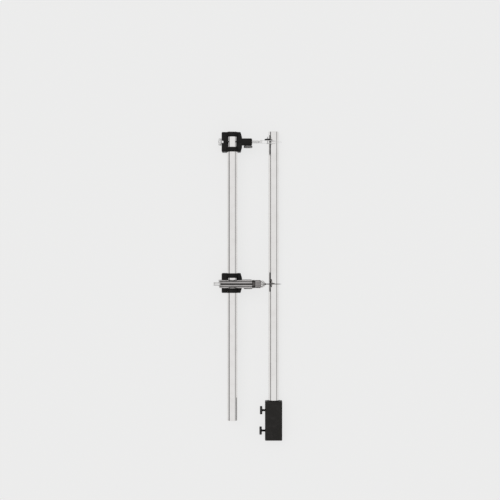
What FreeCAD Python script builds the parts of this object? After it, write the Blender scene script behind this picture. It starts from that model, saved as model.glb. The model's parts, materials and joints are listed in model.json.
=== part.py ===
"""A beam compass lying flat: a main beam with two sliding heads, and a loose extension in its connector.

Millimetres. The origin is on the plane that it lies on, under the middle of the main beam.
+Y runs along the beams, +X is the side that the pen and the needle point to, and +Z is up.
"""
import FreeCAD, Part
import math
import os
from FreeCAD import Vector

# Fits and gaps
sliding_clearance = 0.05
thread_clearance = 0.05
seat_gap = 0.02
part_gap = 0.3
overrun = 2.0
same_place = 0.001

# Beams
beam_length = 330.0
beam_diameter = 12.0
beam_wall = 1.2
beam_end_chamfer = 0.35
groove_width = 3.0
groove_depth = 0.5
groove_side_gap = 0.15

# Heads: the same casting twice
head_length = 22.4
head_left_wall = 6.1
head_right_wall = 5.0
head_back_wall = 10.8
head_rail_drop = 2.6
head_corner_step = 1.6
head_bulge_length = 10.6
head_corner_round = 1.1
head_edge_chamfer = 0.7
head_bevel_width = 2.7
head_bevel_depth = 0.8
window_width = 10.8
window_length = 11.8
window_corner_round = 0.8
saddle_wall = 1.3
saddle_chamfer = 0.25
lug_reach = 1.1
lug_width = 1.2
lug_height = 2.2
lug_gap = 0.5
pen_head_setback = 0.8
point_head_place = -8.0

# Arm on each head
arm_length = 11.55
arm_width = 7.9
arm_depth = 6.0
arm_end_round = 1.3
arm_edge_chamfer = 0.5
arm_bore_depth = 12.6
shank_diameter = 3.2
shank_chamfer = 0.3

# Head clamp: knurled screw, threaded insert and sliding key
clamp_knob_diameter = 8.2
clamp_knob_width = 3.3
clamp_knob_gap = 0.4
clamp_stem_diameter = 2.9
clamp_insert_diameter = 5.2
clamp_flange_diameter = 6.4
clamp_flange_thickness = 2.2
clamp_pocket_depth = 1.3
key_length = 5.0
key_thickness = 1.3
key_chamfer = 0.2
notch_width = 3.1
notch_depth = 2.0

# Arm screw: knurled disc, threaded insert and shoe
arm_screw_setback = 4.6
arm_screw_diameter = 9.9
arm_screw_width = 2.6
arm_screw_gap = 0.3
arm_stem_diameter = 2.9
arm_insert_diameter = 4.6
shoe_thickness = 0.6

# Knurls
knob_chamfer = 0.4
knurl_depth = 0.22
knurl_pitch = 0.85
coarse_knurl_depth = 0.35
coarse_knurl_pitch = 1.25

# Ruling pen
pen_shank_exposed = 8.8
pen_neck_diameter = 2.6
pen_neck_length = 1.2
pen_root_length = 2.8
blade_length = 25.0
blade_straight = 12.6
blade_outer = 1.75
blade_thickness = 0.5
blade_width = 4.4
blade_tip_width = 0.7
blade_tip_thickness = 0.25
blade_tip_gap = 0.1
blade_bow = 0.35
set_screw_place = 9.0
set_screw_diameter = 1.2
set_screw_head_diameter = 2.4
set_screw_head_thickness = 0.5
set_screw_reach = 6.2
set_screw_hole_clearance = 0.25
pen_nut_diameter = 7.3
pen_nut_width = 1.9
pen_nut_bore_clearance = 0.18
pen_nut_lift = 0.05
rivet_place = 1.5
rivet_diameter = 1.0
rivet_head_diameter = 2.0
rivet_head_thickness = 0.45
rivet_play = 0.12

# Point holder
holder_offset = 0.9
holder_diameter = 9.2
holder_gap = 0.4
barrel_length = 37.4
barrel_wall = 1.0
barrel_end_wall = 1.2
barrel_slot_width = 1.8
barrel_chamfer = 0.3
core_neck_step = 0.35
core_bore_diameter = 4.6
core_shoulder_thickness = 2.0
bracket_thickness = 2.8
bracket_eye_wall = 1.45
bracket_web_width = 5.0
cap_gap = 0.1
cap_grip_length = 6.5
cap_nose_length = 5.1
cap_nose_base_diameter = 8.8
cap_nose_tip_diameter = 4.6
cap_lip_thickness = 1.0
cap_slit_width = 0.9
cap_slit_length = 4.4
chuck_wall = 0.55
chuck_reach = 0.8
chuck_slit_width = 0.25
chuck_slit_length = 7.0
button_reach = 6.9
button_diameter = 4.2
button_dome = 0.7
button_flange_thickness = 1.5
needle_diameter = 1.2
needle_length = 44.0
needle_reach = 18.6
needle_taper_length = 14.0
needle_taper_diameter = 0.8
needle_point_length = 2.5
needle_point_diameter = 0.1
spring_room = 17.8
spring_wire = 0.4
spring_side_gap = 0.2
spring_end_gap = 0.1
spring_turns = 9

# Extension: connector block with two thumb screws
extension_place = 47.3
connector_set_down = 1.0
connector_length = 45.0
connector_side_wall = 3.75
connector_face_wall = 1.15
connector_edge_round = 1.2
connector_end_chamfer = 0.5
connector_web = 3.2
connector_boss_wall = 0.95
connector_boss_height = 0.7
thumb_screw_spacing = 23.4
thumb_screw_diameter = 9.6
thumb_screw_width = 2.7
thumb_stem_exposed = 3.2
pressure_pad_thickness = 0.9

# Places and sizes that several pieces share, worked out from the values above
beam_radius = beam_diameter / 2
bore_radius = beam_radius + sliding_clearance
groove_floor = beam_radius - groove_depth
key_half_width = groove_width / 2 - groove_side_gap
head_left = bore_radius + head_left_wall
head_bulge = bore_radius + head_right_wall
head_corner = head_bulge - head_corner_step
head_depth = head_back_wall + beam_diameter - head_rail_drop
beam_height = head_back_wall + beam_radius
saddle_radius = bore_radius + saddle_wall
pen_head_place = beam_length / 2 - head_length / 2 - pen_head_setback
pocket_end = -bore_radius - clamp_pocket_depth
arm_reach = head_bulge + arm_length
arm_height = head_depth - arm_depth / 2
arm_screw_place = arm_reach - arm_screw_setback
shank_radius = shank_diameter / 2
shank_bore_radius = shank_radius + sliding_clearance
shank_end = arm_reach - arm_bore_depth + part_gap
pen_root = arm_reach + pen_shank_exposed
pen_tip = pen_root + blade_length
blade_bend = pen_root + blade_straight
set_screw_x = pen_root + set_screw_place
rivet_x = pen_root + rivet_place
holder_radius = holder_diameter / 2
holder_height = beam_height + saddle_radius + holder_gap + holder_radius
bracket_start = arm_reach + part_gap
barrel_end = bracket_start - seat_gap
barrel_start = barrel_end - barrel_length
core_radius = holder_radius - barrel_wall - sliding_clearance
core_neck_radius = core_radius - core_neck_step
core_bore_radius = core_bore_diameter / 2
cap_start = bracket_start + bracket_thickness + cap_gap
cap_grip_end = cap_start + cap_grip_length
cap_nose_end = cap_grip_end + cap_nose_length
chuck_bore_radius = needle_diameter / 2 + sliding_clearance
chuck_radius = chuck_bore_radius + chuck_wall
chuck_tip = cap_nose_end + chuck_reach
button_hole_radius = button_diameter / 2 + sliding_clearance
spring_start = barrel_start + barrel_end_wall + button_flange_thickness
core_shoulder = spring_start + spring_room
connector_place = -beam_length / 2 - connector_set_down
connector_depth = 2 * (bore_radius + connector_face_wall)
connector_half_width = bore_radius + connector_side_wall
connector_height = connector_depth / 2
extension_start = connector_place + connector_web / 2

X = Vector(1, 0, 0)
Y = Vector(0, 1, 0)
Z = Vector(0, 0, 1)


def box(low, high):
    """A block between two corners."""
    size = [b - a for a, b in zip(low, high)]
    return Part.makeBox(*size, Vector(*low))


def rod(start, axis, length, radius):
    """A round bar from its start point along an axis."""
    return Part.makeCylinder(radius, length, Vector(*start), axis)


def ring(start, axis, length, outer, inner):
    """A plain tube given by its outer and inner radius."""
    return rod(start, axis, length, outer).cut(rod(start, axis, length, inner))


def prism(corners, depth):
    """A straight-sided block: an outline of points in a plane, pushed along a vector."""
    outline = Part.makePolygon([Vector(*c) for c in corners + corners[:1]])
    return Part.Face(outline).extrude(depth)


def turned(profile, start, axis):
    """A turned piece: points of (distance along the axis, radius) spun round the axis."""
    points = [Vector(r, 0, along) for along, r in profile]
    face = Part.Face(Part.makePolygon(points + points[:1]))
    solid = face.revolve(Vector(0, 0, 0), Z, 360)
    solid.Placement = FreeCAD.Placement(Vector(*start), FreeCAD.Rotation(Z, axis))
    return solid


def knurled_disc(start, axis, width, diameter, depth, pitch):
    """A disc with chamfered rims and straight knurls across its edge."""
    radius = diameter / 2
    teeth = int(math.pi * diameter / pitch)
    corners = []
    for step in range(2 * teeth):
        reach = radius - depth * (step % 2)
        angle = math.pi * step / teeth
        corners.append((reach * math.cos(angle), reach * math.sin(angle), 0))
    blank = prism(corners, Z * width)
    blank.Placement = FreeCAD.Placement(Vector(*start), FreeCAD.Rotation(Z, axis))
    face = radius - knob_chamfer
    rim = [
        (0, 0),
        (0, face),
        (knob_chamfer, radius),
        (width - knob_chamfer, radius),
        (width, face),
        (width, 0),
    ]
    return blank.common(turned(rim, start, axis))


def edges_along(shape, axis, beyond=None):
    """The straight edges of a shape that run along an axis, or only those further right than a place."""
    found = []
    for edge in shape.Edges:
        ends = [v.Point for v in edge.Vertexes]
        if len(ends) != 2:
            continue
        run = (ends[1] - ends[0]).normalize()
        along = abs(run.dot(axis)) > math.cos(math.radians(1))
        if along and (beyond is None or ends[0].x > beyond):
            found.append(edge)
    return found


def beam(x, y, z):
    """A hollow round beam with chamfered ends and a guide groove along its left side."""
    outer = beam_radius
    inner = beam_radius - beam_wall
    c = beam_end_chamfer
    wall = [
        (0, inner),
        (0, outer - c),
        (c, outer),
        (beam_length - c, outer),
        (beam_length, outer - c),
        (beam_length, inner),
    ]
    half = groove_width / 2
    low = (x - outer - overrun, y - overrun, z - half)
    high = (x - groove_floor, y + beam_length + overrun, z + half)
    return turned(wall, (x, y, z), Y).cut(box(low, high))


def head_outline(place):
    """The head's outline from the front, as a full-depth block with rounded corners."""
    half = head_length / 2
    bulge = head_bulge_length / 2
    outline = [
        (-head_left, place - half, 0),
        (head_corner, place - half, 0),
        (head_bulge, place - bulge, 0),
        (head_bulge, place + bulge, 0),
        (head_corner, place + half, 0),
        (-head_left, place + half, 0),
    ]
    block = prism(outline, Z * head_depth)
    return block.makeFillet(head_corner_round, edges_along(block, Z))


def head_side(place):
    """The head's outline from the side: chamfers at the back, and wide bevels at the front."""
    half = head_length / 2
    c = head_edge_chamfer
    outline = [
        (-head_left, place - half + c, 0),
        (-head_left, place + half - c, 0),
        (-head_left, place + half, c),
        (-head_left, place + half, head_depth - head_bevel_depth),
        (-head_left, place + half - head_bevel_width, head_depth),
        (-head_left, place - half + head_bevel_width, head_depth),
        (-head_left, place - half, head_depth - head_bevel_depth),
        (-head_left, place - half, c),
    ]
    return prism(outline, X * (head_left + head_bulge))


def head_end(place):
    """The head's outline from its end, with chamfered edges."""
    low = place - head_length / 2
    c = head_edge_chamfer
    outline = [
        (-head_left + c, low, 0),
        (head_bulge - c, low, 0),
        (head_bulge, low, c),
        (head_bulge, low, head_depth - c),
        (head_bulge - c, low, head_depth),
        (-head_left + c, low, head_depth),
        (-head_left, low, head_depth - c),
        (-head_left, low, c),
    ]
    return prism(outline, Y * head_length)


def head_arm(place):
    """The arm that stands out of the head's right side, level with its front face."""
    half = arm_width / 2
    low = arm_height - arm_depth / 2
    arm = box((0, place - half, low), (arm_reach, place + half, head_depth))
    arm = arm.makeFillet(arm_end_round, edges_along(arm, Z, head_bulge))
    return arm.makeChamfer(arm_edge_chamfer, edges_along(arm, X))


def head_saddle(place):
    """The round saddle that carries each end of the head over the beam."""
    c = saddle_chamfer
    profile = [
        (0, 0),
        (0, saddle_radius - c),
        (c, saddle_radius),
        (head_length - c, saddle_radius),
        (head_length, saddle_radius - c),
        (head_length, 0),
    ]
    return turned(profile, (0, place - head_length / 2, beam_height), Y)


def head_window(place):
    """The opening in the head's front that shows the beam, and the break in the saddle above it."""
    half_wide = window_width / 2
    half_long = window_length / 2
    top = beam_height + saddle_radius + overrun
    window = box((-half_wide, place - half_long, beam_height), (half_wide, place + half_long, top))
    window = window.makeFillet(window_corner_round, edges_along(window, Z))
    saddle_break = ((-saddle_radius, place - half_long, head_depth), (saddle_radius, place + half_long, top))
    return window.fuse(box(*saddle_break))


def window_lug(place, side):
    """A small index lug on the window's left (-1) or right (1) rail, which reaches in over the beam's side."""
    wall = side * window_width / 2
    across = sorted((wall + side * lug_reach, wall - side * lug_reach))
    half = lug_width / 2
    lug = box((across[0], place - half, beam_height), (across[1], place + half, head_depth + lug_height))
    return lug.cut(rod((0, place - half, beam_height), Y, lug_width, beam_radius + lug_gap))


def clamp_pocket(place):
    """The room in the head's left wall for the key and the insert, and the notch that shows its flange."""
    half_key = key_length / 2 + sliding_clearance
    half_wide = key_half_width + sliding_clearance
    low = (pocket_end, place - half_key, beam_height - half_wide)
    high = (-groove_floor, place + half_key, beam_height + half_wide)
    outside = -head_left - overrun
    seat = rod((outside, place, beam_height), X, pocket_end - outside, clamp_insert_diameter / 2)
    flange_end = clamp_flange_thickness - head_left
    flange = rod((outside, place, beam_height), X, flange_end - outside, clamp_flange_diameter / 2)
    stem_radius = clamp_stem_diameter / 2 + thread_clearance
    stem = rod((pocket_end, place, beam_height), X, -groove_floor - pocket_end, stem_radius)
    half_notch = notch_width / 2
    notch_low = (outside, place - half_notch, beam_height)
    notch_high = (-head_left + notch_depth, place + half_notch, head_depth + overrun)
    return box(low, high).fuse(seat).fuse(flange).fuse(stem).fuse(box(notch_low, notch_high))


def arm_holes(place):
    """The shank bore along the arm, and the insert's seat that meets it from below."""
    bore_start = (arm_reach - arm_bore_depth, place, arm_height)
    bore = rod(bore_start, X, arm_bore_depth + overrun, shank_bore_radius)
    seat_start = (arm_screw_place, place - arm_width, arm_height)
    return bore.fuse(rod(seat_start, Y, arm_width, arm_insert_diameter / 2))


def head_body(place):
    """A head casting: block, saddle, arm, beam bore, window, lugs, clamp pocket and arm holes."""
    body = head_outline(place).common(head_side(place)).common(head_end(place))
    body = body.fuse(head_saddle(place)).fuse(head_arm(place))
    bore = rod((0, place - head_length, beam_height), Y, 2 * head_length, bore_radius)
    body = body.cut(bore).cut(head_window(place))
    for side in (-1, 1):
        body = body.fuse(window_lug(place, side))
    return body.cut(clamp_pocket(place)).cut(arm_holes(place)).removeSplitter()


def clamp_insert(place):
    """The threaded insert in the head's left wall, with its flange flush with the outside."""
    start = (-head_left, place, beam_height)
    inner = clamp_stem_diameter / 2 + thread_clearance
    flange = ring(start, X, clamp_flange_thickness, clamp_flange_diameter / 2, inner)
    body = ring(start, X, pocket_end + head_left, clamp_insert_diameter / 2, inner)
    return flange.fuse(body).removeSplitter()


def clamp_key(place):
    """The key that rides in the beam's groove, and grips it when the screw is tight."""
    face = -groove_floor - seat_gap
    half = key_length / 2
    low = (face - key_thickness, place - half, beam_height - key_half_width)
    high = (face, place + half, beam_height + key_half_width)
    key = box(low, high)
    return key.makeChamfer(key_chamfer, edges_along(key, X))


def clamp_screw(place):
    """The knurled clamp screw with its stem, from the knob to the key."""
    low = -head_left - clamp_knob_gap - clamp_knob_width
    start = (low, place, beam_height)
    knob = knurled_disc(start, X, clamp_knob_width, clamp_knob_diameter, knurl_depth, knurl_pitch)
    tip = -groove_floor - 2 * seat_gap - key_thickness
    return knob.fuse(rod(start, X, tip - low, clamp_stem_diameter / 2)).removeSplitter()


def arm_insert(place):
    """The threaded insert in the arm's underside, cut back by the shank bore."""
    start = (arm_screw_place, place - arm_width / 2, arm_height)
    inner = arm_stem_diameter / 2 + thread_clearance
    length = arm_width / 2 - shank_radius / 2
    insert = ring(start, Y, length, arm_insert_diameter / 2, inner)
    return insert.cut(rod((0, place, arm_height), X, arm_reach, shank_bore_radius))


def arm_shoe(place):
    """The shoe between the arm screw's tip and the shank."""
    low = place - shank_radius - seat_gap - shoe_thickness
    return rod((arm_screw_place, low, arm_height), Y, shoe_thickness, arm_stem_diameter / 2)


def arm_screw(place):
    """The knurled thumb screw under the arm."""
    low = place - arm_width / 2 - arm_screw_gap - arm_screw_width
    start = (arm_screw_place, low, arm_height)
    disc = knurled_disc(start, Y, arm_screw_width, arm_screw_diameter, knurl_depth, knurl_pitch)
    tip = place - shank_radius - 2 * seat_gap - shoe_thickness
    return disc.fuse(rod(start, Y, tip - low, arm_stem_diameter / 2)).removeSplitter()


def blade_edge(place, side):
    """A blade seen on edge, straight and then curving in to the tip; side is 1 above, -1 below."""
    outer = side * blade_outer
    inner = side * (blade_outer - blade_thickness)
    tip_inner = side * blade_tip_gap
    tip_outer = side * (blade_tip_gap + blade_tip_thickness)
    middle = (blade_bend + pen_tip) / 2
    bow = side * blade_bow

    def at(x, y):
        return Vector(x, place + y, arm_height - blade_width)

    edges = [
        Part.LineSegment(at(pen_root, inner), at(pen_root, outer)),
        Part.LineSegment(at(pen_root, outer), at(blade_bend, outer)),
        Part.Arc(at(blade_bend, outer), at(middle, (outer + tip_outer) / 2 + bow), at(pen_tip, tip_outer)),
        Part.LineSegment(at(pen_tip, tip_outer), at(pen_tip, tip_inner)),
        Part.Arc(at(pen_tip, tip_inner), at(middle, (inner + tip_inner) / 2 + bow), at(blade_bend, inner)),
        Part.LineSegment(at(blade_bend, inner), at(pen_root, inner)),
    ]
    outline = Part.Wire([e.toShape() for e in edges])
    return Part.Face(outline).extrude(Z * 2 * blade_width)


def blade(place, side):
    """One blade of the ruling pen, narrowing to its tip."""
    half = blade_width / 2
    tip = blade_tip_width / 2
    low = place - blade_width
    plan = [
        (pen_root, low, arm_height - half),
        (blade_bend, low, arm_height - half),
        (pen_tip - tip, low, arm_height - tip),
        (pen_tip, low, arm_height - tip / 2),
        (pen_tip, low, arm_height + tip / 2),
        (pen_tip - tip, low, arm_height + tip),
        (blade_bend, low, arm_height + half),
        (pen_root, low, arm_height + half),
    ]
    return blade_edge(place, side).common(prism(plan, Y * 2 * blade_width))


def pen_shank(place):
    """The pen's shank, neck and root block, in one with its lower blade."""
    c = shank_chamfer
    neck = pen_neck_diameter / 2
    end = pen_root - shank_end
    profile = [
        (0, 0),
        (0, shank_radius - c),
        (c, shank_radius),
        (end - pen_neck_length - c, shank_radius),
        (end - pen_neck_length, neck),
        (end, neck),
        (end, 0),
    ]
    shank = turned(profile, (shank_end, place, arm_height), X)
    half = blade_width / 2
    top = blade_outer - blade_thickness - seat_gap
    low = (pen_root, place - blade_outer, arm_height - half)
    root = box(low, (pen_root + pen_root_length, place + top, arm_height + half))
    screw_hole = rod((set_screw_x, place - blade_width, arm_height), Y, blade_width, set_screw_diameter / 2)
    rivet_hole = rod((rivet_x, place - blade_width, arm_height), Y, 2 * blade_width, rivet_diameter / 2)
    solid = shank.fuse(root).fuse(blade(place, -1))
    return solid.cut(screw_hole).cut(rivet_hole).removeSplitter()


def pen_spring_blade(place):
    """The pen's upper blade, which the nut presses towards the lower one."""
    wide = set_screw_diameter / 2 + set_screw_hole_clearance
    hole = rod((set_screw_x, place, arm_height), Y, blade_width, wide)
    rivet = rod((rivet_x, place, arm_height), Y, blade_width, rivet_diameter / 2 + sliding_clearance)
    return blade(place, 1).cut(hole).cut(rivet)


def pen_set_screw(place):
    """The pen's set screw: a flat head under the lower blade and a stem up through both."""
    low = place - blade_outer
    head_low = (set_screw_x, low - set_screw_head_thickness, arm_height)
    head = rod(head_low, Y, set_screw_head_thickness, set_screw_head_diameter / 2)
    stem = rod((set_screw_x, low, arm_height), Y, blade_outer + set_screw_reach, set_screw_diameter / 2)
    return head.fuse(stem).removeSplitter()


def pen_blade_rivet(place):
    """The rivet that holds the spring blade to the root block."""
    low = place - blade_outer
    top = place + blade_outer + rivet_play
    stem = rod((rivet_x, low, arm_height), Y, top - low, rivet_diameter / 2)
    head = rod((rivet_x, top, arm_height), Y, rivet_head_thickness, rivet_head_diameter / 2)
    return stem.fuse(head).removeSplitter()


def pen_nut(place):
    """The knurled nut on the pen's set screw."""
    start = (set_screw_x, place + blade_outer + pen_nut_lift, arm_height)
    disc = knurled_disc(start, Y, pen_nut_width, pen_nut_diameter, knurl_depth, knurl_pitch)
    return disc.cut(rod(start, Y, pen_nut_width, set_screw_diameter / 2 + pen_nut_bore_clearance))


def on_holder_axis(place, x):
    """A point on the point holder's axis, which runs along X in front of the head."""
    return (x, place - holder_offset, holder_height)


def holder_bracket(place):
    """The bracket: a spigot in the arm's bore, and a plate with the eye round the holder's neck."""
    spigot = rod((shank_end, place, arm_height), X, bracket_start - shank_end, shank_radius)
    eye_centre = on_holder_axis(place, bracket_start)
    hole_radius = core_neck_radius + sliding_clearance
    eye = rod(eye_centre, X, bracket_thickness, hole_radius + bracket_eye_wall)
    half = bracket_web_width / 2
    foot = rod((bracket_start, place, arm_height), X, bracket_thickness, half)
    web = [
        (bracket_start, place - half, arm_height),
        (bracket_start, place + half, arm_height),
        (bracket_start, place - holder_offset + half, holder_height),
        (bracket_start, place - holder_offset - half, holder_height),
    ]
    plate = eye.fuse(foot).fuse(prism(web, X * bracket_thickness)).fuse(spigot)
    return plate.cut(rod(eye_centre, X, bracket_thickness, hole_radius)).removeSplitter()


def holder_barrel(place):
    """The slit chrome barrel, with a wall at its rear end that keeps the button in."""
    inner = holder_radius - barrel_wall
    c = barrel_chamfer
    profile = [
        (0, button_hole_radius),
        (0, holder_radius - c),
        (c, holder_radius),
        (barrel_length - c, holder_radius),
        (barrel_length, holder_radius - c),
        (barrel_length, inner),
        (barrel_end_wall, inner),
        (barrel_end_wall, button_hole_radius),
    ]
    barrel = turned(profile, on_holder_axis(place, barrel_start), X)
    half = barrel_slot_width / 2
    middle = place - holder_offset
    low = (barrel_start - overrun, middle - half, holder_height)
    high = (barrel_end + overrun, middle + half, holder_height + holder_radius + overrun)
    return barrel.cut(box(low, high))


def holder_core(place):
    """The dark core inside the barrel: its neck goes through the bracket's eye and carries the cap."""
    start = barrel_start + barrel_end_wall + seat_gap
    front = barrel_end - start
    end = cap_grip_end - cap_lip_thickness - part_gap - start
    shoulder = core_shoulder - start
    shoulder_end = shoulder + core_shoulder_thickness
    passage = chuck_radius + sliding_clearance
    profile = [
        (0, core_bore_radius),
        (0, core_radius),
        (front, core_radius),
        (front, core_neck_radius),
        (end, core_neck_radius),
        (end, core_bore_radius),
        (shoulder_end, core_bore_radius),
        (shoulder_end, passage),
        (shoulder, passage),
        (shoulder, core_bore_radius),
    ]
    return turned(profile, on_holder_axis(place, start), X)


def chuck_cap(place):
    """The knurled cap, screwed on the core's neck, with its polished nose slit into four jaws."""
    start = on_holder_axis(place, cap_start)
    grip = knurled_disc(start, X, cap_grip_length, holder_diameter, knurl_depth, knurl_pitch)
    base = cap_nose_base_diameter / 2
    profile = [
        (0, 0),
        (0, base),
        (knob_chamfer, base),
        (cap_nose_length, cap_nose_tip_diameter / 2),
        (cap_nose_length, 0),
    ]
    nose = turned(profile, on_holder_axis(place, cap_grip_end), X)
    socket = rod(start, X, cap_grip_length - cap_lip_thickness, core_neck_radius + thread_clearance)
    passage = rod(start, X, cap_grip_length + cap_nose_length, chuck_radius + sliding_clearance)
    cap = grip.fuse(nose).cut(socket).cut(passage).removeSplitter()
    _, y, z = start
    half = cap_slit_width / 2
    slit_start = cap_nose_end - cap_slit_length
    slit_end = cap_nose_end + overrun
    for wide, tall in ((half, base), (base, half)):
        cap = cap.cut(box((slit_start, y - wide, z - tall), (slit_end, y + wide, z + tall)))
    return cap


def chuck(place):
    """The chuck: a tube with a slit nose that holds the needle, and runs back to the push button."""
    length = chuck_tip - spring_start
    rim = chuck_radius - chuck_wall / 2
    profile = [
        (0, chuck_bore_radius),
        (0, chuck_radius),
        (length - chuck_wall, chuck_radius),
        (length, rim),
        (length, chuck_bore_radius),
    ]
    tube = turned(profile, on_holder_axis(place, spring_start), X)
    half = chuck_slit_width / 2
    middle = place - holder_offset
    low = (chuck_tip - chuck_slit_length, middle - half, holder_height - chuck_radius)
    high = (chuck_tip + overrun, middle + half, holder_height + chuck_radius)
    return tube.cut(box(low, high))


def push_button(place):
    """The push button: a domed tail behind the barrel, with a flange inside it."""
    radius = button_diameter / 2
    flange = core_bore_radius - sliding_clearance
    flange_start = button_reach + barrel_end_wall + 2 * seat_gap
    end = button_reach + barrel_end_wall + button_flange_thickness - seat_gap
    profile = [
        (0, 0),
        (0, radius - button_dome),
        (button_dome, radius),
        (flange_start, radius),
        (flange_start, flange),
        (end, flange),
        (end, 0),
    ]
    return turned(profile, on_holder_axis(place, barrel_start - button_reach), X)


def button_spring(place):
    """The coil spring round the chuck's tube, between the core's shoulder and the button."""
    wire = spring_wire / 2
    coil_radius = core_bore_radius - spring_side_gap - wire
    length = spring_room - 2 * (spring_end_gap + wire)
    coil = Part.makeHelix(length / spring_turns, length, coil_radius)
    section = Part.Wire(Part.makeCircle(wire, Vector(coil_radius, 0, 0), Y))
    tube = Part.Wire(coil).makePipeShell([section], True, True)
    start = on_holder_axis(place, spring_start + spring_end_gap + wire)
    tube.Placement = FreeCAD.Placement(Vector(*start), FreeCAD.Rotation(Z, X))
    return tube


def needle(place):
    """The steel needle: a parallel shank, a long taper and a sharp point."""
    radius = needle_diameter / 2
    profile = [
        (0, 0),
        (0, radius),
        (needle_length - needle_taper_length, radius),
        (needle_length - needle_point_length, needle_taper_diameter / 2),
        (needle_length, needle_point_diameter / 2),
        (needle_length, 0),
    ]
    start = cap_nose_end + needle_reach - needle_length
    return turned(profile, on_holder_axis(place, start), X)


def connector_block():
    """The connector: a socket in each end with a web between, a boss at its upper end, and two threaded holes."""
    half_long = connector_length / 2
    x, y, z = extension_place, connector_place, connector_height
    low = (x - connector_half_width, y - half_long, 0)
    block = box(low, (x + connector_half_width, y + half_long, connector_depth))
    block = block.makeFillet(connector_edge_round, edges_along(block, Y))
    ends = [e for e in block.Edges if abs(abs(e.CenterOfMass.y - y) - half_long) < same_place]
    block = block.makeChamfer(connector_end_chamfer, ends)
    reach = half_long + connector_boss_height
    block = block.fuse(rod((x, y, z), Y, reach, bore_radius + connector_boss_wall))
    for side in (-1, 1):
        mouth = (x, y + side * connector_web / 2, z)
        block = block.cut(rod(mouth, Y * side, reach, bore_radius))
        hole = (x - connector_half_width - overrun, y + side * thumb_screw_spacing / 2, z)
        block = block.cut(rod(hole, X, connector_half_width + overrun, key_half_width + thread_clearance))
    return block.removeSplitter()


def thumb_screw(side, tip):
    """A connector screw whose pad stops at a distance from the socket's axis; side 1 is the upper one."""
    exposed = thumb_stem_exposed + tip - groove_floor
    low = extension_place - connector_half_width - exposed - thumb_screw_width
    start = (low, connector_place + side * thumb_screw_spacing / 2, connector_height)
    size = (thumb_screw_width, thumb_screw_diameter)
    disc = knurled_disc(start, X, *size, coarse_knurl_depth, coarse_knurl_pitch)
    end = extension_place - tip - 2 * seat_gap - pressure_pad_thickness
    return disc.fuse(rod(start, X, end - low, key_half_width)).removeSplitter()


def pressure_pad(side, tip):
    """The pad at a thumb screw's tip, narrow enough for the groove, which presses without turning."""
    low = extension_place - tip - seat_gap - pressure_pad_thickness
    start = (low, connector_place + side * thumb_screw_spacing / 2, connector_height)
    return rod(start, X, pressure_pad_thickness, key_half_width)


def pieces():
    """Every piece by its name."""
    made = {
        "main_beam": beam(0, -beam_length / 2, beam_height),
        "extension_beam": beam(extension_place, extension_start, connector_height),
        "connector_block": connector_block(),
        "connector_screw_upper": thumb_screw(1, groove_floor),
        "connector_screw_lower": thumb_screw(-1, bore_radius),
        "connector_pad_upper": pressure_pad(1, groove_floor),
        "connector_pad_lower": pressure_pad(-1, bore_radius),
    }
    for name, place in (("pen", pen_head_place), ("point", point_head_place)):
        made[f"{name}_head_body"] = head_body(place)
        made[f"{name}_head_insert"] = clamp_insert(place)
        made[f"{name}_head_key"] = clamp_key(place)
        made[f"{name}_head_screw"] = clamp_screw(place)
        made[f"{name}_arm_insert"] = arm_insert(place)
        made[f"{name}_arm_shoe"] = arm_shoe(place)
        made[f"{name}_arm_screw"] = arm_screw(place)
    ruling_pen = (pen_shank, pen_spring_blade, pen_set_screw, pen_blade_rivet, pen_nut)
    for make in ruling_pen:
        made[make.__name__] = make(pen_head_place)
    holder_shell = (holder_bracket, holder_barrel, holder_core, chuck_cap)
    holder_inside = (chuck, push_button, button_spring, needle)
    for make in holder_shell + holder_inside:
        made[make.__name__] = make(point_head_place)
    return made


def main():
    """Write every piece as a STEP file named after it."""
    os.makedirs("parts", exist_ok=True)
    for name, shape in pieces().items():
        shape.exportStep(f"parts/{name}.step")


main()
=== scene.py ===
"""The looks of a beam compass lying on a pale floor: its finishes, its fine pieces, the light and the camera.

Metres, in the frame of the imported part: +Y runs along the beams, +X is the way that the pen and the needle
point, and +Z is up, towards the viewer.
"""
import json
import math

import bpy
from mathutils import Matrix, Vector

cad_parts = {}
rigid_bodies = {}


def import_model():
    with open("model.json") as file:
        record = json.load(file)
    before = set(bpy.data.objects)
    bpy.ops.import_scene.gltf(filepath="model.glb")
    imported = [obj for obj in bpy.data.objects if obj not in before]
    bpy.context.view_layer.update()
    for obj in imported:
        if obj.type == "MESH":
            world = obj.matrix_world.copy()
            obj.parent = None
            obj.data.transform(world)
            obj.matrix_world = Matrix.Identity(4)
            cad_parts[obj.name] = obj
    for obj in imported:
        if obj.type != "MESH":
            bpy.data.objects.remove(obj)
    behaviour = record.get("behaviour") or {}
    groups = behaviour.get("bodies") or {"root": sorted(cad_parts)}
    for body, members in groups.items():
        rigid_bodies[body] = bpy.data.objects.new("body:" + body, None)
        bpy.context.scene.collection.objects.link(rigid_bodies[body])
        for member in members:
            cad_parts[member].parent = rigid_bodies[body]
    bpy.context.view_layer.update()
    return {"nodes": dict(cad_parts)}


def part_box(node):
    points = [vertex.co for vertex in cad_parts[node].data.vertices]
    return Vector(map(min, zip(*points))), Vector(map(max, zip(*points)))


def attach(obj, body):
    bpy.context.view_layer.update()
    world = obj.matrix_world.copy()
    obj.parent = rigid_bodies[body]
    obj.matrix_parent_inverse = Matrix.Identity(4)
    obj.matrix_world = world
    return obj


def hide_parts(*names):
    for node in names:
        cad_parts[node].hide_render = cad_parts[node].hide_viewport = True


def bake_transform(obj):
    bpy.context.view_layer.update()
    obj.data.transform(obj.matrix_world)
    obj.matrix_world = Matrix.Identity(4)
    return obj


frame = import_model()
nodes = frame["nodes"]
mm = 0.001

# The photograph: its frame in pixels, the size of a pixel at the beams, and the pixel over the part's origin
picture_width = 500
pixel = 1.142 * mm
origin_column = 232.3
origin_row = 276.0

# The camera, looking straight down through a long lens
lens = 100.0
sensor = 36.0

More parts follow.
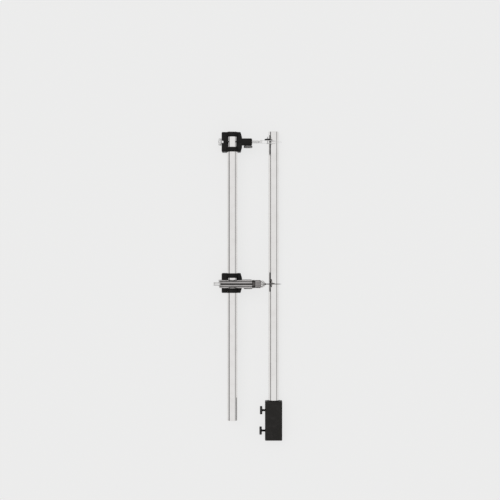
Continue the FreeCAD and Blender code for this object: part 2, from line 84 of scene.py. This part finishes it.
# The floor and the light
pale = 0.845
floor_size = 12.0
floor_glow_share = 0.88
sky_level = 0.62
lamp_level = 1.25
lamp_spread = math.radians(50)
lamp_tilt = (math.radians(-12), math.radians(-14), 0)

# The tent that metal mirrors: its brightness, its dark gap at each side and its darker ends
tent_level = 0.86
tent_gap_drop = 0.62
tent_gap_left_drop = 0.14
tent_gap_low = 0.13
tent_gap_left_lower = 0.08
tent_gap_high = 0.40
tent_gap_left_higher = 0.02
tent_ends_drop = 0.72

# The grain of the finishes
smudge_size = 9 * mm
tool_mark_depth = 0.0006 * mm
rubbed_patch_size = 0.5 * mm
oxide_grain_size = 0.12 * mm
oxide_grain_depth = 0.001 * mm
mould_grain_size = 0.22 * mm
mould_grain_depth = 0.005 * mm
handling_size = 6 * mm
mould_gloss = 0.17
paper_fibre_size = 1.5 * mm
paper_fibre_depth = 0.01 * mm

# How the fine pieces are worked
weld = 0.001 * mm
knurl_pitch = 0.85 * mm
knurl_depth = 0.22 * mm
coarse_knurl_pitch = 1.25 * mm
coarse_knurl_depth = 0.35 * mm
rim = 0.45 * mm
dish_depth = 0.3 * mm
dish_bevel = 0.4 * mm
soft_edge = 0.06 * mm
casting_edge = 0.22 * mm
sharp_angle = 28
casting_sharp_angle = 32
smooth_angle = 38
thread_smooth_angle = 30
spring_smooth_angle = 60
flat_angle = 1
screw_pitch = 0.5 * mm
pen_screw_pitch = 0.35 * mm
screw_core = 1.2 * mm
screw_crest = 1.45 * mm
thread_height_share = 0.5
thread_half_width_share = 0.42
wire_sides = 12
thread_steps = 20
coil_steps = 32


class Value:
    """A number, colour or vector on its way through a material, with the arithmetic that materials use."""

    def __init__(self, shader, socket):
        self.shader = shader
        self.socket = socket

    def math(self, operation, *others):
        values = dict(enumerate((self, *others)))
        return self.shader.node("Math", {"operation": operation}, values)

    def __add__(self, other):
        return self.math("ADD", other)

    __radd__ = __add__

    def __mul__(self, other):
        return self.math("MULTIPLY", other)

    __rmul__ = __mul__

    def __sub__(self, other):
        return self.math("SUBTRACT", other)

    def __rsub__(self, other):
        return self.math("MULTIPLY", -1.0).math("ADD", other)

    def __abs__(self):
        return self.math("ABSOLUTE")

    def above(self, low, high):
        """0 below low and 1 above high, with a smooth slope between them."""
        values = {"Value": self, "From Min": low, "From Max": high}
        return self.shader.node("MapRange", {"interpolation_type": "SMOOTHSTEP"}, values)


class Shader:
    """A node tree that is written as expressions."""

    def __init__(self, owner):
        owner.use_nodes = True
        self.tree = owner.node_tree
        self.tree.nodes.clear()

    def node(self, kind, settings=None, values=None, output=0):
        """Any node: its settings first, then the values or links of its sockets. Returns one output."""
        made = self.tree.nodes.new("ShaderNode" + kind)
        for name, setting in (settings or {}).items():
            setattr(made, name, setting)
        for name, value in (values or {}).items():
            if isinstance(value, Value):
                self.tree.links.new(value.socket, made.inputs[name])
            else:
                made.inputs[name].default_value = value
        return Value(self, made.outputs[output]) if made.outputs else made

    def place(self, scale=(1, 1, 1)):
        """Where a point is on the piece, stretched along each axis."""
        at = self.node("TexCoord", output="Object")
        return self.node("Mapping", values={"Vector": at, "Scale": scale})

    def noise(self, size, scale=(1, 1, 1), detail=3.0):
        """Soft unevenness from 0 to 1, with blotches of about this size."""
        values = {"Vector": self.place(scale), "Scale": 1 / size, "Detail": detail}
        return self.node("TexNoise", values=values)

    def mix(self, factor, one, other):
        """A colour between two colours."""
        values = {0: factor, 6: (*one, 1) if isinstance(one, tuple) else one,
                  7: (*other, 1) if isinstance(other, tuple) else other}
        return self.node("Mix", {"data_type": "RGBA"}, values, output=2)

    def bump(self, height, depth):
        """The normal of a surface that rises by this height, a share of a depth in metres."""
        return self.node("Bump", values={"Height": height, "Distance": depth, "Strength": 1.0})


class Finish(Shader):
    """A surface material of this compass."""

    def __init__(self, name):
        self.material = bpy.data.materials.new(name)
        super().__init__(self.material)

    def surface(self, colour, roughness, normal, metallic=0.0, specular=0.5):
        """The finished surface: what varies is linked, and what is constant is set on its socket."""
        values = {"Base Color": colour, "Roughness": roughness, "Normal": normal, "Metallic": metallic,
                  "Specular IOR Level": specular}
        shown = self.node("BsdfPrincipled", values=values)
        self.node("OutputMaterial", values={"Surface": shown})
        return self.material


def metal(name, colour, worn, roughness, grain, stretch):
    """A plain metal: fine tool marks along one direction, faint smudges, and a slightly uneven tone."""
    made = Finish(name)
    marks = made.noise(grain, stretch, detail=4.0)
    smudges = made.noise(smudge_size, detail=2.0)
    tone = made.mix(smudges.above(0.35, 0.75), colour, worn)
    shine = roughness * (0.75 + 0.35 * marks + 0.4 * smudges.above(0.45, 0.7))
    return made.surface(tone, shine, made.bump(marks, tool_mark_depth), metallic=1.0)


def worn_black(name, colour, bare, roughness):
    """Blacked steel whose knurls are rubbed brighter, where the piece's wear attribute is high."""
    made = Finish(name)
    wear = made.node("Attribute", {"attribute_name": "wear"}, output="Fac")
    patches = made.noise(rubbed_patch_size, detail=4.0)
    rubbed = wear * patches.above(0.35, 0.62)
    grain = made.noise(oxide_grain_size, detail=3.0)
    tone = made.mix(rubbed, colour, bare)
    shine = roughness - 0.08 * rubbed
    return made.surface(tone, shine, made.bump(grain, oxide_grain_depth), metallic=1.0)


def moulded_plastic(name, colour, dusty):
    """Black moulded plastic: an even satin skin with a fine spark-eroded grain and faint handling marks."""
    made = Finish(name)
    grain = made.noise(mould_grain_size, detail=2.0)
    handling = made.noise(handling_size, detail=5.0)
    tone = made.mix(handling.above(0.45, 0.8), colour, dusty)
    shine = 0.34 + 0.1 * grain + 0.16 * handling
    return made.surface(tone, shine, made.bump(grain, mould_grain_depth), specular=mould_gloss)


along_x = (0.03, 1, 1)
along_y = (1, 0.02, 1)
every_way = (1, 1, 1)

# Each metal: its colour, its smudges' colour, its roughness, and the size and direction of its tool marks
metals = {
    "tube_chrome": ((0.878, 0.864, 0.853), (0.835, 0.818, 0.806), 0.06, 0.3 * mm, along_y),
    "bright_chrome": ((0.86, 0.855, 0.85), (0.79, 0.785, 0.78), 0.1, 0.25 * mm, every_way),
    "barrel_chrome": ((0.50, 0.48, 0.475), (0.38, 0.365, 0.36), 0.15, 0.2 * mm, along_x),
    "nose_chrome": ((0.93, 0.915, 0.90), (0.86, 0.85, 0.84), 0.3, 0.25 * mm, every_way),
    "cap_chrome": ((0.42, 0.40, 0.395), (0.30, 0.285, 0.28), 0.16, 0.2 * mm, along_x),
    "pen_steel": ((0.78, 0.775, 0.77), (0.70, 0.695, 0.69), 0.18, 0.15 * mm, along_x),
    "ground_steel": ((0.66, 0.655, 0.65), (0.56, 0.555, 0.55), 0.22, 0.15 * mm, along_x),
    "needle_steel": ((0.22, 0.21, 0.205), (0.16, 0.155, 0.15), 0.24, 0.1 * mm, along_x),
    "dark_steel": ((0.22, 0.215, 0.21), (0.15, 0.15, 0.15), 0.28, 0.2 * mm, every_way),
    "polished_black": ((0.12, 0.112, 0.108), (0.08, 0.075, 0.072), 0.12, 0.2 * mm, along_x),
    "turned_brass": ((0.72, 0.55, 0.28), (0.6, 0.44, 0.2), 0.22, 0.2 * mm, every_way),
}

# Each moulded plastic: its colour, and its colour where hands have dulled it
plastics = {
    "moulded_black": ((0.0055, 0.0050, 0.0046), (0.0125, 0.0115, 0.0107)),
    "connector_black": ((0.0115, 0.0105, 0.0095), (0.018, 0.0165, 0.0155)),
}

finishes = {name: metal(name, *look) for name, look in metals.items()}
finishes.update({name: moulded_plastic(name, *look) for name, look in plastics.items()})
finishes["black_oxide"] = worn_black("black_oxide", (0.025, 0.024, 0.024), (0.10, 0.097, 0.094), 0.38)


def dress(piece, finish):
    """Give a piece one finish all over."""
    piece.data.materials.clear()
    piece.data.materials.append(finishes[finish])


def dress_nodes():
    """The finishes of the CAD nodes that stay as they are."""
    node_finish = {
        "main_beam": "tube_chrome", "extension_beam": "tube_chrome", "connector_pad_upper": "turned_brass",
        "connector_pad_lower": "turned_brass", "pen_shank": "pen_steel", "pen_spring_blade": "pen_steel",
        "holder_barrel": "barrel_chrome", "holder_core": "moulded_black", "chuck": "polished_black",
        "needle": "needle_steel",
    }
    for head in ("pen", "point"):
        node_finish[f"{head}_head_insert"] = "bright_chrome"
        for inner_piece in ("head_key", "arm_insert", "arm_shoe"):
            node_finish[f"{head}_{inner_piece}"] = "turned_brass"
    for node, finish in node_finish.items():
        dress(nodes[node], finish)


def select_only(piece):
    """Make one piece the only one that operators act on."""
    bpy.ops.object.select_all(action="DESELECT")
    piece.select_set(True)
    bpy.context.view_layer.objects.active = piece


def outline_from_points(name, points):
    """A line through points, extruded from one vertex, left open in edit mode."""
    bpy.ops.object.select_all(action="DESELECT")
    bpy.ops.mesh.primitive_plane_add(size=mm)
    piece = bpy.context.object
    piece.name = name
    piece.data.name = name
    bpy.ops.object.mode_set(mode="EDIT")
    bpy.ops.mesh.select_mode(type="VERT")
    bpy.ops.mesh.select_all(action="SELECT")
    bpy.ops.mesh.merge(type="CENTER")
    bpy.ops.transform.translate(value=points[0])
    for before, after in zip(points, points[1:]):
        step = Vector(after) - Vector(before)
        bpy.ops.mesh.extrude_region_move(TRANSFORM_OT_translate={"value": step})
    bpy.ops.mesh.select_all(action="SELECT")
    return piece


def turn(name, outline, sides):
    """A turned piece on the Z axis: an outline of (radius, height) points spun round it."""
    piece = outline_from_points(name, [(radius, 0, height) for radius, height in outline])
    bpy.ops.mesh.spin(steps=sides, angle=math.tau, center=(0, 0, 0), axis=(0, 0, 1))
    bpy.ops.mesh.select_all(action="SELECT")
    bpy.ops.mesh.remove_doubles(threshold=weld)
    bpy.ops.mesh.normals_make_consistent(inside=False)
    bpy.ops.object.mode_set(mode="OBJECT")
    return piece


def finish_modifier(piece, kind, **settings):
    """Put one modifier on a piece and apply it."""
    select_only(piece)
    made = piece.modifiers.new(kind.lower(), kind)
    for name, setting in settings.items():
        setattr(made, name, setting)
    bpy.ops.object.modifier_apply(modifier=made.name)


def soften(piece, width, sharper_than=sharp_angle):
    """Round the sharp edges a little, and shade what is smooth as smooth."""
    finish_modifier(piece, "BEVEL", width=width, segments=2, limit_method="ANGLE",
                    angle_limit=math.radians(sharper_than))
    bpy.ops.object.shade_smooth_by_angle(angle=math.radians(smooth_angle))


def rub(piece, start, wear_of):
    """Store on each vertex how rubbed it is, from 0 to 1, by its distance from the axis."""
    wear = piece.data.attributes.new("wear", "FLOAT", "POINT")
    for vertex, value in zip(piece.data.vertices, wear.data):
        radius = math.hypot(vertex.co.x, vertex.co.y)
        value.value = min(1, max(0, (radius - start) / wear_of))


def knurled(name, outline, radius, pitch, depth):
    """A turned piece with straight knurls pulled in round its widest rim."""
    teeth = int(math.tau * radius / pitch)
    piece = turn(name, outline, 2 * teeth)
    select_only(piece)
    for edge in piece.data.edges:
        edge.select = False
    for face in piece.data.polygons:
        face.select = False
    for vertex in piece.data.vertices:
        x, y, z = vertex.co
        line = round(math.atan2(y, x) * teeth / math.pi)
        vertex.select = math.hypot(x, y) > radius - weld and line % 2 == 1
    bpy.ops.object.mode_set(mode="EDIT")
    share = 1 - depth / radius
    bpy.ops.transform.resize(value=(share, share, 1), center_override=(0, 0, 0))
    bpy.ops.object.mode_set(mode="OBJECT")
    return piece


def thread(radius, pitch, low, high):
    """The ridge of a right-handed thread on the Z axis: a sharp triangle swept up its helix."""
    height = thread_height_share * pitch
    root = radius - height
    half = thread_half_width_share * pitch
    triangle = [(root, 0, low - half), (radius, 0, low), (root, 0, low + half), (root, 0, low - half)]
    ridge = outline_from_points("ridge", triangle)
    bpy.ops.mesh.remove_doubles(threshold=weld)
    bpy.ops.object.mode_set(mode="OBJECT")
    finish_modifier(ridge, "SCREW", axis="Z", angle=math.tau, screw_offset=pitch, steps=thread_steps,
                    render_steps=thread_steps, iterations=int((high - low) / pitch), use_merge_vertices=True)
    bpy.ops.object.mode_set(mode="EDIT")
    bpy.ops.mesh.select_all(action="SELECT")
    bpy.ops.mesh.fill_holes(sides=3)
    bpy.ops.mesh.select_all(action="SELECT")
    bpy.ops.mesh.normals_make_consistent(inside=False)
    bpy.ops.object.mode_set(mode="OBJECT")
    bpy.ops.object.shade_smooth_by_angle(angle=math.radians(thread_smooth_angle))
    return ridge


def join(piece, *others):
    """Make several meshes one piece."""
    select_only(piece)
    for other in others:
        other.select_set(True)
    bpy.ops.object.join()


def lay(piece, way, start):
    """Put a piece that was made on the Z axis at its place, with that axis along another."""
    turns = {"+X": (0, math.pi / 2, 0), "+Y": (-math.pi / 2, 0, 0)}
    select_only(piece)
    piece.rotation_euler = turns[way]
    piece.location = start
    bpy.ops.object.transform_apply(location=True, rotation=True, scale=True)


def lay_on(piece, node, way):
    """Put a piece that was made on the Z axis on a CAD node's axis, with its start at the node's start."""
    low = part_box(node)[0]
    centre = middle(node)
    start = (low[0], centre.y, centre.z) if way == "+X" else (centre.x, low[1], centre.z)
    lay(piece, way, start)


def copy_beside(piece, name, node, other_node):
    """A copy of a piece with its own mesh, moved as far as one CAD node is from another."""
    select_only(piece)
    bpy.ops.object.duplicate()
    made = bpy.context.object
    made.name = name
    made.data.name = name
    made.location = Vector(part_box(other_node)[0]) - Vector(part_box(node)[0])
    bpy.ops.object.transform_apply(location=True, rotation=True, scale=True)
    return made


def stand_for(piece, node, body):
    """Let a piece stand for a CAD node: the node is hidden and the piece goes on its body."""
    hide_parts(node)
    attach(piece, body)


def middle(node):
    """The middle of a CAD node's box."""
    low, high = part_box(node)
    return (Vector(low) + Vector(high)) / 2


def knob_outline(radius, width, neck, neck_end, stem, length):
    """A knob's outline: a dished outer face, chamfered rims, a neck and a stem with a chamfered tip."""
    dish = radius * 0.6
    tip = 0.2 * mm
    return [
        (0, dish_depth), (dish - dish_bevel, dish_depth), (dish, 0), (radius - rim, 0), (radius, rim),
        (radius, width - rim), (radius - rim, width), (neck + rim, width), (neck, width + rim / 2),
        (neck, neck_end), (stem, neck_end + rim / 2), (stem, length - tip), (stem - tip, length), (0, length),
    ]


def make_clamp_screws():
    """The knurled clamp screws at the left of the heads."""
    low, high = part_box("pen_head_screw")
    radius = (high[2] - low[2]) / 2
    length = high[0] - low[0]
    width = 3.3 * mm
    neck = 1.32 * mm
    neck_end = width + rim
    outline = knob_outline(radius, width, neck, neck_end, screw_core, length)
    screw = knurled("clamp_screw_pen", outline, radius, knurl_pitch, knurl_depth)
    soften(screw, soft_edge)
    join(screw, thread(screw_crest, screw_pitch, neck_end + rim, length - rim))
    lay_on(screw, "pen_head_screw", "+X")
    dress(screw, "bright_chrome")
    stand_for(screw, "pen_head_screw", "pen_head_screw")
    other = copy_beside(screw, "clamp_screw_point", "pen_head_screw", "point_head_screw")
    stand_for(other, "point_head_screw", "point_head_screw")


def make_arm_screws():
    """The knurled screws under the arms, which grip the instruments' shanks."""
    low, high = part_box("pen_arm_screw")
    radius = (high[2] - low[2]) / 2
    length = high[1] - low[1]
    width = 2.6 * mm
    neck = 1.3 * mm
    outline = knob_outline(radius, width, neck, width + rim, screw_core, length)
    screw = knurled("arm_screw_pen", outline, radius, knurl_pitch, knurl_depth)
    soften(screw, soft_edge)
    join(screw, thread(screw_crest, screw_pitch, width + 2 * rim, length - rim))
    lay_on(screw, "pen_arm_screw", "+Y")
    dress(screw, "dark_steel")
    stand_for(screw, "pen_arm_screw", "pen_arm_screw")
    other = copy_beside(screw, "arm_screw_point", "pen_arm_screw", "point_arm_screw")
    stand_for(other, "point_arm_screw", "point_arm_screw")


def make_thumb_screws():
    """The connector's two coarse knurled thumb screws with their threaded stems."""
    low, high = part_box("connector_screw_upper")
    radius = (high[2] - low[2]) / 2
    length = high[0] - low[0]
    width = 2.7 * mm
    neck = 1.5 * mm
    core = 1.12 * mm
    crest = 1.35 * mm
    outline = knob_outline(radius, width, neck, width + rim, core, length)
    screw = knurled("thumb_screw_upper", outline, radius, coarse_knurl_pitch, coarse_knurl_depth)
    soften(screw, soft_edge)
    join(screw, thread(crest, screw_pitch, width + 2 * rim, length - rim))
    rub(screw, radius - coarse_knurl_depth, coarse_knurl_depth)
    lay_on(screw, "connector_screw_upper", "+X")
    dress(screw, "black_oxide")
    stand_for(screw, "connector_screw_upper", "connector_screw_upper")
    other = copy_beside(screw, "thumb_screw_lower", "connector_screw_upper", "connector_screw_lower")
    stand_for(other, "connector_screw_lower", "connector_screw_lower")


def make_pen_nut():
    """The knurled nut that closes the pen's blades, with a raised hub round its bore."""
    low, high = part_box("pen_nut")
    radius = (high[0] - low[0]) / 2
    width = high[1] - low[1]
    bore = 0.78 * mm
    hub = 2.0 * mm
    step = 0.3 * mm
    outline = [
        (bore, step / 2), (bore + step / 2, 0), (radius - rim, 0), (radius, rim),
        (radius, width - rim - step), (radius - rim, width - step),
        (hub + step, width - step), (hub, width - step / 2), (hub, width),
        (bore + step / 2, width), (bore, width - step / 2), (bore, step / 2),
    ]
    nut = knurled("pen_adjusting_nut", outline, radius, knurl_pitch, knurl_depth)
    soften(nut, soft_edge)
    rub(nut, radius - knurl_depth, knurl_depth)
    lay_on(nut, "pen_nut", "+Y")
    dress(nut, "black_oxide")
    stand_for(nut, "pen_nut", "pen_nut")


def cut_slot(piece, place, size):
    """Cut a straight slot out of a piece, round a place."""
    bpy.ops.object.select_all(action="DESELECT")
    bpy.ops.mesh.primitive_cube_add(size=1, location=place, scale=size)
    cutter = bpy.context.object
    finish_modifier(piece, "BOOLEAN", operation="DIFFERENCE", solver="EXACT", object=cutter)
    bpy.data.objects.remove(cutter)


def make_set_screw():
    """The pen's set screw: a slotted flat head, a fine thread and a rounded end."""
    low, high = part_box("pen_set_screw")
    length = high[1] - low[1]
    head = (high[0] - low[0]) / 2
    head_height = 0.5 * mm
    core = 0.48 * mm
    crest = 0.6 * mm
    edge = 0.12 * mm
    end = 0.7 * mm
    slot_width = 0.35 * mm
    slot_depth = 0.25 * mm
    outline = [
        (0, 0), (head - edge, 0), (head, edge), (head, head_height - edge), (head - edge, head_height),
        (crest, head_height), (crest, 4 * head_height), (core, 4 * head_height + edge), (core, length - end),
        (crest - edge / 2, length - end), (crest - edge / 2, length - end / 2), (core / 2, length - edge / 2),
        (0, length),
    ]
    screw = turn("pen_set_screw_fine", outline, 32)
    cut_slot(screw, (0, 0, 0), (3 * head, slot_width, 2 * slot_depth))
    soften(screw, edge / 4)
    thread_low = 4 * head_height + pen_screw_pitch
    thread_high = length - end - pen_screw_pitch / 2
    join(screw, thread(crest, pen_screw_pitch, thread_low, thread_high))
    lay_on(screw, "pen_set_screw", "+Y")
    dress(screw, "ground_steel")
    stand_for(screw, "pen_set_screw", "pen")


def make_rivet():
    """The rivet through the pen's blades, with a domed head and a flat tail."""
    low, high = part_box("pen_blade_rivet")
    length = high[1] - low[1]
    head = (high[0] - low[0]) / 2
    stem = head / 2
    head_height = 0.45 * mm
    outline = [(0, 0), (stem, 0), (stem, length - head_height), (head, length - head_height)]
    for share in (0.35, 0.6, 0.8, 0.92, 1.0):
        outline.append((head * math.sqrt(1 - share ** 2), length - head_height * (1 - share)))
    rivet = turn("pen_rivet", outline, 28)
    soften(rivet, 0.04 * mm)
    lay_on(rivet, "pen_blade_rivet", "+Y")
    dress(rivet, "ground_steel")
    stand_for(rivet, "pen_blade_rivet", "pen")


def make_chuck_cap():
    """The chuck's cap: a knurled grip, a groove, and a polished nose split into four jaws."""
    low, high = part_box("chuck_cap")
    length = high[0] - low[0]
    radius = (high[2] - low[2]) / 2
    grip = 6.5 * mm
    socket = 3.25 * mm
    socket_end = 5.5 * mm
    passage = 1.25 * mm
    groove = 0.4 * mm
    nose_base = 4.4 * mm
    nose_tip = 2.3 * mm
    nose_start = grip + groove
    outline = [
        (socket, 0), (radius - rim, 0), (radius, rim), (radius, grip - rim), (radius - rim, grip),
        (radius - 2 * rim, grip), (radius - 2 * rim, nose_start), (nose_base - groove / 2, nose_start),
        (nose_base, nose_start + groove / 2),
    ]
    for share in (0.25, 0.5, 0.7, 0.85, 0.95, 1.0):
        bulge = 0.5 * mm * math.sin(share * math.pi) * (1 - share / 2)
        along = nose_start + groove / 2 + share * (length - nose_start - groove / 2)
        outline.append((nose_base + share * (nose_tip - nose_base) + bulge, along))
    outline += [(passage, length), (passage, socket_end), (socket, socket_end), (socket, 0)]
    cap = knurled("chuck_cap_fine", outline, radius, knurl_pitch, knurl_depth)
    slot_depth = 4.4 * mm
    slot = 0.9 * mm
    for size in ((3 * radius, slot, 2 * slot_depth), (slot, 3 * radius, 2 * slot_depth)):
        cut_slot(cap, (0, 0, length), size)
    soften(cap, soft_edge)
    dress(cap, "cap_chrome")
    cap.data.materials.append(finishes["nose_chrome"])
    for face in cap.data.polygons:
        face.material_index = int(face.center.z > nose_start)
    lay_on(cap, "chuck_cap", "+X")
    stand_for(cap, "chuck_cap", "chuck_cap")


def make_push_button():
    """The push button behind the barrel: a domed end with a fine turned groove, and its inner flange."""
    low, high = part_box("push_button")
    length = high[0] - low[0]
    radius = 2.1 * mm
    flange = (high[2] - low[2]) / 2
    flange_start = length - 1.45 * mm
    dome = 0.7 * mm
    groove = 0.25 * mm
    groove_place = 1.5 * mm
    outline = [(radius * math.sin(math.radians(a)), dome * (1 - math.cos(math.radians(a))))
               for a in (0, 20, 40, 55, 68, 80, 90)]
    outline += [
        (radius, groove_place), (radius - groove, groove_place + groove), (radius, groove_place + 2 * groove),
        (radius, flange_start), (flange, flange_start), (flange, length), (0, length),
    ]
    button = turn("push_button_fine", outline, 48)
    soften(button, soft_edge)
    lay_on(button, "push_button", "+X")
    dress(button, "bright_chrome")
    stand_for(button, "push_button", "chuck")


def make_spring():
    """The coil spring in the holder."""
    low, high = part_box("button_spring")
    wire = 0.2 * mm
    turns = 9
    coil_radius = (high[2] - low[2]) / 2 - wire
    pitch = (high[0] - low[0] - 2 * wire) / turns
    bpy.ops.object.select_all(action="DESELECT")
    bpy.ops.mesh.primitive_circle_add(vertices=wire_sides, radius=wire, location=(coil_radius, 0, 0),
                                      rotation=(math.pi / 2, 0, 0))
    spring = bpy.context.object
    spring.name = "coil_spring"
    spring.data.name = "coil_spring"
    bpy.ops.object.transform_apply(location=True, rotation=True, scale=True)
    finish_modifier(spring, "SCREW", axis="Z", angle=math.tau, screw_offset=pitch, steps=coil_steps,
                    render_steps=coil_steps, iterations=turns, use_merge_vertices=True)
    bpy.ops.object.mode_set(mode="EDIT")
    bpy.ops.mesh.select_all(action="SELECT")
    bpy.ops.mesh.fill_holes(sides=wire_sides)
    bpy.ops.mesh.select_all(action="SELECT")
    bpy.ops.mesh.normals_make_consistent(inside=False)
    bpy.ops.object.mode_set(mode="OBJECT")
    bpy.ops.object.shade_smooth_by_angle(angle=math.radians(spring_smooth_angle))
    centre = middle("button_spring")
    lay(spring, "+X", (low[0] + wire, centre.y, centre.z))
    dress(spring, "ground_steel")
    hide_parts("button_spring")
    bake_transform(spring)


def recast(node, name, edge, finish, body):
    """A copy of a moulded or cast solid with whole faces in place of triangles, and rounded edges."""
    select_only(nodes[node])
    bpy.ops.object.duplicate()
    piece = bpy.context.object
    bpy.ops.object.parent_clear(type="CLEAR_KEEP_TRANSFORM")
    piece.name = name
    piece.data.name = name
    bpy.ops.mesh.customdata_custom_splitnormals_clear()
    bpy.ops.object.mode_set(mode="EDIT")
    bpy.ops.mesh.select_all(action="SELECT")
    bpy.ops.mesh.remove_doubles(threshold=weld)
    bpy.ops.mesh.dissolve_limited(angle_limit=math.radians(flat_angle))
    bpy.ops.mesh.normals_make_consistent(inside=False)
    bpy.ops.object.mode_set(mode="OBJECT")
    bpy.ops.object.transform_apply(location=True, rotation=True, scale=True)
    soften(piece, edge, sharper_than=casting_sharp_angle)
    dress(piece, finish)
    stand_for(piece, node, body)
    return piece


def make_castings():
    """The heads, the connector and the bracket, with the rounded edges that moulds and files leave."""
    for head in ("pen_head", "point_head"):
        recast(f"{head}_body", f"{head}_casting", casting_edge, "moulded_black", head)
    recast("connector_block", "connector_casting", casting_edge, "connector_black", "connector")
    recast("holder_bracket", "holder_bracket_filed", casting_edge / 2, "polished_black", "point_holder")


def direct_rays(made):
    """Whether a ray comes from the camera, from a mirror or through a clear piece: 0 or 1 each."""
    camera_ray = made.node("LightPath", output="Is Camera Ray")
    kinds = camera_ray.socket.node.outputs
    return camera_ray, Value(made, kinds["Is Glossy Ray"]), Value(made, kinds["Is Transmission Ray"])


def make_floor():
    """The pale floor that the compass lies on: a part of its paleness is its own, to keep shadows faint."""
    bpy.ops.object.select_all(action="DESELECT")
    bpy.ops.mesh.primitive_plane_add(size=floor_size, location=(0, 0, 0))
    floor = bpy.context.object
    floor.name = "floor"
    made = Finish("pale_paper")
    fibre = made.noise(paper_fibre_size, detail=2.0)
    tone = made.mix(fibre, (pale, pale, pale), (pale * 0.99, pale * 0.99, pale * 0.985))
    values = {"Base Color": tone, "Roughness": 0.9, "Specular IOR Level": 0.1,
              "Normal": made.bump(fibre, paper_fibre_depth)}
    paper = made.node("BsdfPrincipled", values=values)
    glow = made.node("Emission", values={"Color": tone, "Strength": 1.0})
    camera_ray, glossy_ray, through_ray = direct_rays(made)
    share = floor_glow_share * (camera_ray + glossy_ray + through_ray)
    shown = made.node("MixShader", values={0: share, 1: paper, 2: glow})
    made.node("OutputMaterial", values={"Surface": shown})
    floor.data.materials.append(made.material)


def make_sky():
    """The studio round the compass: even light, and for metal a bright tent with a dark gap at each side."""
    world = bpy.data.worlds.new("studio")
    bpy.context.scene.world = world
    made = Shader(world)
    across = made.node("SeparateXYZ", values={"Vector": made.node("TexCoord", output="Generated")})
    along = Value(made, across.socket.node.outputs[1])
    up = Value(made, across.socket.node.outputs[2])
    sideways = abs(across).above(0.45, 0.75)
    left = across.above(0.02, -0.02)
    low_edge = tent_gap_low - tent_gap_left_lower * left
    high_edge = tent_gap_high + tent_gap_left_higher * left
    gap = (up - low_edge).above(0.0, 0.05) * (1 - (up - high_edge).above(0.0, 0.1)) * sideways
    ends = abs(along).above(0.25, 0.7) * (1 - up.above(0.3, 0.62))
    tent = tent_level - (tent_gap_drop + tent_gap_left_drop * left) * gap - tent_ends_drop * ends
    camera_ray, glossy_ray, through_ray = direct_rays(made)
    seen = camera_ray + through_ray
    level = seen * pale + glossy_ray * tent + (1 - seen - glossy_ray) * sky_level
    shown = made.node("Background", values={"Color": (1, 1, 1, 1), "Strength": level})
    made.node("OutputWorld", values={"Surface": shown})


def make_lamp():
    """One broad soft lamp from above and a little to the upper left."""
    bpy.ops.object.light_add(type="SUN", location=(0, 0, 1))
    lamp = bpy.context.object
    lamp.name = "soft_lamp"
    lamp.data.energy = lamp_level
    lamp.data.angle = lamp_spread
    lamp.rotation_euler = lamp_tilt
    lamp.visible_glossy = False


def make_camera():
    """The camera over the point that the photograph's middle shows."""
    width = picture_width * pixel
    centre = picture_width / 2
    across = (centre - origin_column) * pixel
    along = (origin_row - centre) * pixel
    bpy.ops.object.camera_add(location=(across, along, width * lens / sensor + middle("main_beam").z))
    camera = bpy.context.object
    camera.data.lens = lens
    camera.data.sensor_width = sensor
    camera.rotation_euler = (0, 0, 0)
    bpy.context.scene.camera = camera


dress_nodes()
make_castings()
make_clamp_screws()
make_arm_screws()
make_thumb_screws()
make_pen_nut()
make_set_screw()
make_rivet()
make_chuck_cap()
make_push_button()
make_spring()
make_floor()
make_sky()
make_lamp()
make_camera()
bpy.context.scene.view_settings.view_transform = "Standard"
